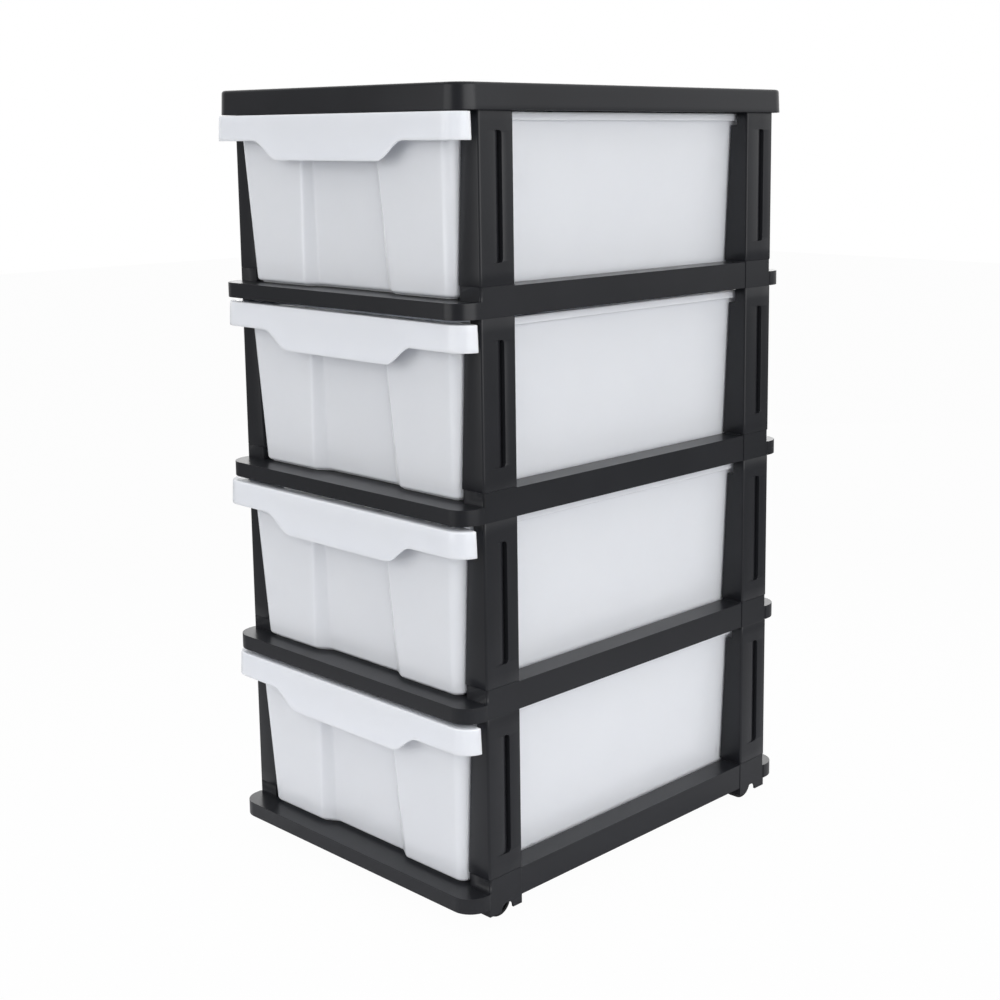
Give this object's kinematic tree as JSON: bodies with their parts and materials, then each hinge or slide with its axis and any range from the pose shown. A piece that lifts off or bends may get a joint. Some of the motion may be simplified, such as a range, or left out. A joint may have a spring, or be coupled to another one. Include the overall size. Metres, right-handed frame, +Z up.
{
  "type": "drawer storage tower",
  "caption": "Free-standing storage tower on small castors: shelf frames on corner posts carry deep pull-out drawers, each with a handle lip, under a flat cover.",
  "frame": {"origin": "on the floor, under the centre of the tower's bounding box with the drawers as they stand in the picture, shut to within 5 mm", "axes": "+Z up, +X to the right as the tower is faced, the drawers open toward -Y"},
  "size_m": [0.303, 0.3998, 0.6512],
  "materials": {
    "frame_plastic": "charcoal injection-moulded polypropylene with a fine satin grain",
    "drawer_plastic": "milky translucent injection-moulded polypropylene, smooth",
    "castor_plastic": "black moulded polypropylene",
    "axle_steel": "plain drawn steel wire"
  },
  "bodies": {
    "frame": {"base_frame": "frame_plastic", "shelf_low": "frame_plastic", "shelf_mid": "frame_plastic", "shelf_high": "frame_plastic", "cover": "frame_plastic", "post_1_fl": "frame_plastic", "post_1_fr": "frame_plastic", "post_1_rl": "frame_plastic", "post_1_rr": "frame_plastic", "post_2_fl": "frame_plastic", "post_2_fr": "frame_plastic", "post_2_rl": "frame_plastic", "post_2_rr": "frame_plastic", "post_3_fl": "frame_plastic", "post_3_fr": "frame_plastic", "post_3_rl": "frame_plastic", "post_3_rr": "frame_plastic", "post_4_fl": "frame_plastic", "post_4_fr": "frame_plastic", "post_4_rl": "frame_plastic", "post_4_rr": "frame_plastic"},
    "drawer_1": {"drawer_1": "drawer_plastic"},
    "drawer_2": {"drawer_2": "drawer_plastic"},
    "drawer_3": {"drawer_3": "drawer_plastic"},
    "drawer_4": {"drawer_4": "drawer_plastic"},
    "swivel_fl": {"castor_fork_fl": "castor_plastic", "castor_axle_fl": "axle_steel"},
    "wheel_fl": {"castor_wheel_fl": "castor_plastic"},
    "swivel_fr": {"castor_fork_fr": "castor_plastic", "castor_axle_fr": "axle_steel"},
    "wheel_fr": {"castor_wheel_fr": "castor_plastic"},
    "swivel_rl": {"castor_fork_rl": "castor_plastic", "castor_axle_rl": "axle_steel"},
    "wheel_rl": {"castor_wheel_rl": "castor_plastic"},
    "swivel_rr": {"castor_fork_rr": "castor_plastic", "castor_axle_rr": "axle_steel"},
    "wheel_rr": {"castor_wheel_rr": "castor_plastic"}
  },
  "joints": [
    {"name": "drawer_1_slide", "type": "slide", "parent": "frame", "child": "drawer_1", "axis": [0, -1, 0], "range_m": [-0.0031, 0.2469]},
    {"name": "drawer_2_slide", "type": "slide", "parent": "frame", "child": "drawer_2", "axis": [0, -1, 0], "range_m": [-0.0046, 0.2454]},
    {"name": "drawer_3_slide", "type": "slide", "parent": "frame", "child": "drawer_3", "axis": [0, -1, 0], "range_m": [0, 0.25]},
    {"name": "drawer_4_slide", "type": "slide", "parent": "frame", "child": "drawer_4", "axis": [0, -1, 0], "range_m": [-0.0037, 0.2463]},
    {"name": "castor_fl_swivel", "type": "hinge", "parent": "frame", "child": "swivel_fl", "pos_m": [-0.1315, -0.15635, 0.029], "axis": [0, 0, 1], "continuous": true},
    {"name": "castor_fl_roll", "type": "hinge", "parent": "swivel_fl", "child": "wheel_fl", "pos_m": [-0.1315, -0.15335, 0.0125], "axis": [1, 0, 0], "continuous": true},
    {"name": "castor_fr_swivel", "type": "hinge", "parent": "frame", "child": "swivel_fr", "pos_m": [0.1315, -0.15635, 0.029], "axis": [0, 0, 1], "continuous": true},
    {"name": "castor_fr_roll", "type": "hinge", "parent": "swivel_fr", "child": "wheel_fr", "pos_m": [0.1315, -0.15335, 0.0125], "axis": [1, 0, 0], "continuous": true},
    {"name": "castor_rl_swivel", "type": "hinge", "parent": "frame", "child": "swivel_rl", "pos_m": [-0.1315, 0.15965, 0.029], "axis": [0, 0, 1], "continuous": true},
    {"name": "castor_rl_roll", "type": "hinge", "parent": "swivel_rl", "child": "wheel_rl", "pos_m": [-0.1315, 0.16265, 0.0125], "axis": [1, 0, 0], "continuous": true},
    {"name": "castor_rr_swivel", "type": "hinge", "parent": "frame", "child": "swivel_rr", "pos_m": [0.1315, 0.15965, 0.029], "axis": [0, 0, 1], "continuous": true},
    {"name": "castor_rr_roll", "type": "hinge", "parent": "swivel_rr", "child": "wheel_rr", "pos_m": [0.1315, 0.16265, 0.0125], "axis": [1, 0, 0], "continuous": true}
  ]
}
